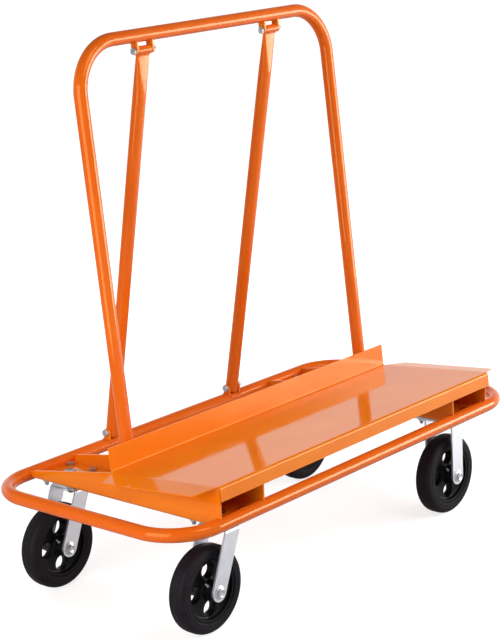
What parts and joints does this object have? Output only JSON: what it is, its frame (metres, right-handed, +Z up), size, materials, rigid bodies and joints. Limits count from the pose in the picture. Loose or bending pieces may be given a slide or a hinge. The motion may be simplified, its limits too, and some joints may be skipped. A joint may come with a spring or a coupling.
{
  "type": "drywall cart",
  "caption": "Bent-tube cart on swivel and rigid casters, with a tilted folded deck, a rear stop and a braced hoop, for moving sheets of drywall.",
  "frame": {"origin": "on the floor, under the middle of the ring", "axes": "+X along the cart to the rigid casters, -Y to the loading side, +Z up"},
  "size_m": [1.29, 0.64, 1.29],
  "materials": {
    "orange_paint": "gloss orange powder coat on steel tube and sheet",
    "zinc_casters": "bright zinc plating on pressed steel",
    "zinc_fasteners": "zinc plating on bolts and nuts",
    "bearing_steel": "polished bearing balls",
    "bearing_bronze": "plain bronze bearing",
    "black_cast_iron": "black enamel on a casting",
    "black_rubber": "moulded black rubber"
  },
  "bodies": {
    "chassis": {"perimeter_ring": "orange_paint", "left_channel": "orange_paint", "right_channel": "orange_paint", "deck": "orange_paint", "hoop": "orange_paint", "hoop_foot_ears": "orange_paint", "hoop_foot_bolts": "zinc_fasteners", "hoop_foot_nuts": "zinc_fasteners", "left_brace": "orange_paint", "right_brace": "orange_paint", "brace_top_ears": "orange_paint", "brace_top_bolts": "zinc_fasteners", "brace_top_nuts": "zinc_fasteners", "brace_foot_ears": "orange_paint", "brace_foot_bolts": "zinc_fasteners", "brace_foot_nuts": "zinc_fasteners", "caster_bolts": "zinc_fasteners", "caster_nuts": "zinc_fasteners", "left_front_plate": "zinc_casters", "left_front_upper_race": "zinc_casters", "left_front_kingpin": "zinc_fasteners", "left_front_kingpin_nut": "zinc_fasteners", "left_rear_plate": "zinc_casters", "left_rear_upper_race": "zinc_casters", "left_rear_kingpin": "zinc_fasteners", "left_rear_kingpin_nut": "zinc_fasteners", "right_front_bracket": "zinc_casters", "right_front_axle_bolt": "zinc_fasteners", "right_front_axle_nut": "zinc_fasteners", "right_front_axle_sleeve": "zinc_casters", "right_rear_bracket": "zinc_casters", "right_rear_axle_bolt": "zinc_fasteners", "right_rear_axle_nut": "zinc_fasteners", "right_rear_axle_sleeve": "zinc_casters"},
    "left_front_swivel": {"left_front_balls": "bearing_steel", "left_front_lower_race": "zinc_casters", "left_front_fork": "zinc_casters", "left_front_axle_bolt": "zinc_fasteners", "left_front_axle_nut": "zinc_fasteners", "left_front_axle_sleeve": "zinc_casters"},
    "left_front_wheel": {"left_front_bearing": "bearing_bronze", "left_front_hub": "black_cast_iron", "left_front_tyre": "black_rubber"},
    "left_rear_swivel": {"left_rear_balls": "bearing_steel", "left_rear_lower_race": "zinc_casters", "left_rear_fork": "zinc_casters", "left_rear_axle_bolt": "zinc_fasteners", "left_rear_axle_nut": "zinc_fasteners", "left_rear_axle_sleeve": "zinc_casters"},
    "left_rear_wheel": {"left_rear_bearing": "bearing_bronze", "left_rear_hub": "black_cast_iron", "left_rear_tyre": "black_rubber"},
    "right_front_wheel": {"right_front_bearing": "bearing_bronze", "right_front_hub": "black_cast_iron", "right_front_tyre": "black_rubber"},
    "right_rear_wheel": {"right_rear_bearing": "bearing_bronze", "right_rear_hub": "black_cast_iron", "right_rear_tyre": "black_rubber"}
  },
  "joints": [
    {"name": "left_front_swivel_turn", "type": "hinge", "parent": "chassis", "child": "left_front_swivel", "pos_m": [-0.4325, -0.236, 0.2455], "axis": [0, 0, 1], "continuous": true},
    {"name": "left_rear_swivel_turn", "type": "hinge", "parent": "chassis", "child": "left_rear_swivel", "pos_m": [-0.4325, 0.236, 0.2455], "axis": [0, 0, 1], "continuous": true},
    {"name": "left_front_wheel_roll", "type": "hinge", "parent": "left_front_swivel", "child": "left_front_wheel", "pos_m": [-0.4885, -0.236, 0.1015], "axis": [0, 1, 0], "continuous": true},
    {"name": "left_rear_wheel_roll", "type": "hinge", "parent": "left_rear_swivel", "child": "left_rear_wheel", "pos_m": [-0.4885, 0.236, 0.1015], "axis": [0, 1, 0], "continuous": true},
    {"name": "right_front_wheel_roll", "type": "hinge", "parent": "chassis", "child": "right_front_wheel", "pos_m": [0.4205, -0.236, 0.1015], "axis": [0, 1, 0], "continuous": true},
    {"name": "right_rear_wheel_roll", "type": "hinge", "parent": "chassis", "child": "right_rear_wheel", "pos_m": [0.4205, 0.236, 0.1015], "axis": [0, 1, 0], "continuous": true}
  ]
}
